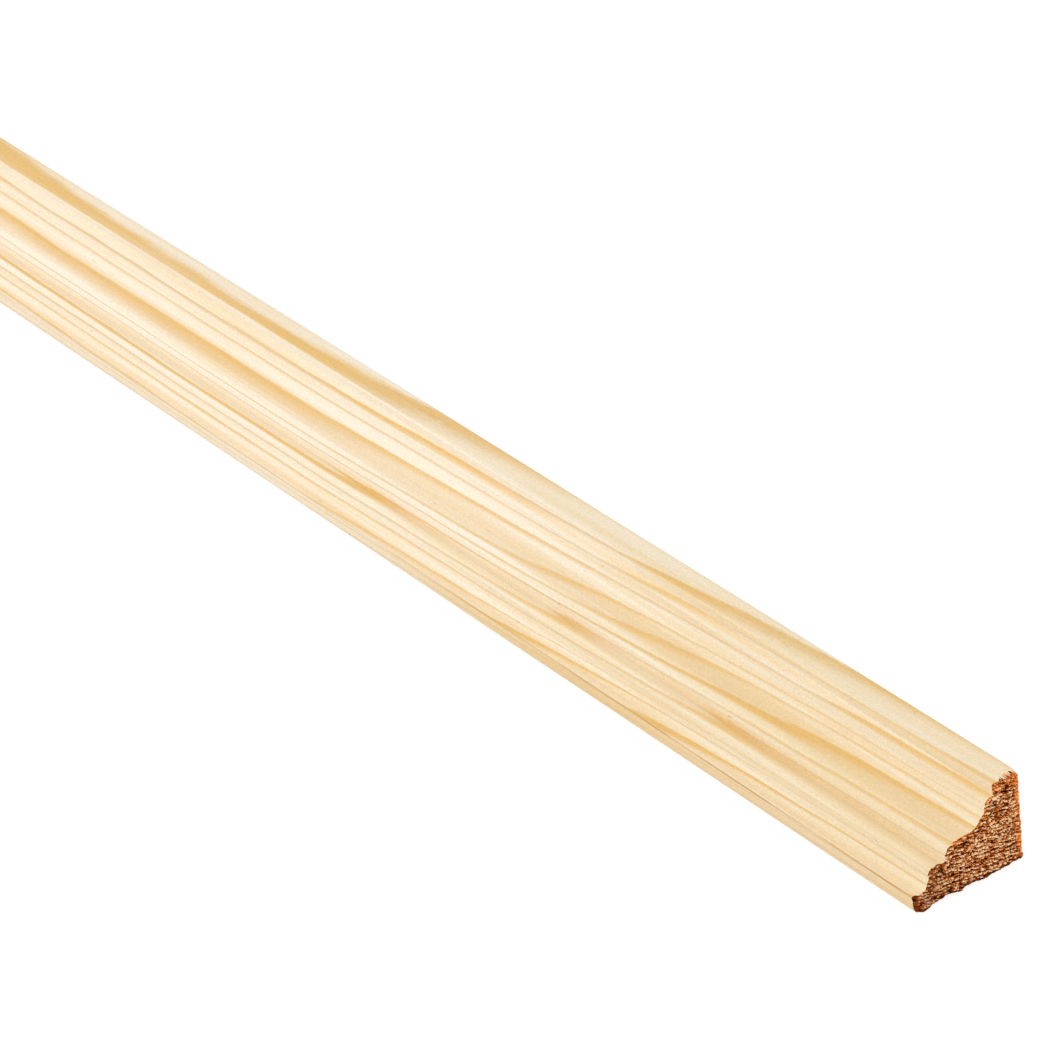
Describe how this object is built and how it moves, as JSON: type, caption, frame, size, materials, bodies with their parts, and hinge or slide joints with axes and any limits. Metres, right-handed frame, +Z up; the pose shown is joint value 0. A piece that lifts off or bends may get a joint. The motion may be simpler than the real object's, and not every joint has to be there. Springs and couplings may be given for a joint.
{
  "type": "cornice moulding",
  "caption": "Straight length of planed pine cornice moulding, flat on its base and back, with a stepped face of hollows, a quarter round and a bead that ends in a rounded nose.",
  "frame": {"origin": "middle of the base, halfway along the length", "axes": "+X along the length, +Y out of the flat back, -Y towards the nose, +Z up from the base"},
  "size_m": [2.4, 0.028, 0.021],
  "materials": {
    "pine": "planed and bare, ends sawn"
  },
  "bodies": {
    "root": {"cornice_moulding": "pine"}
  },
  "joints": []
}
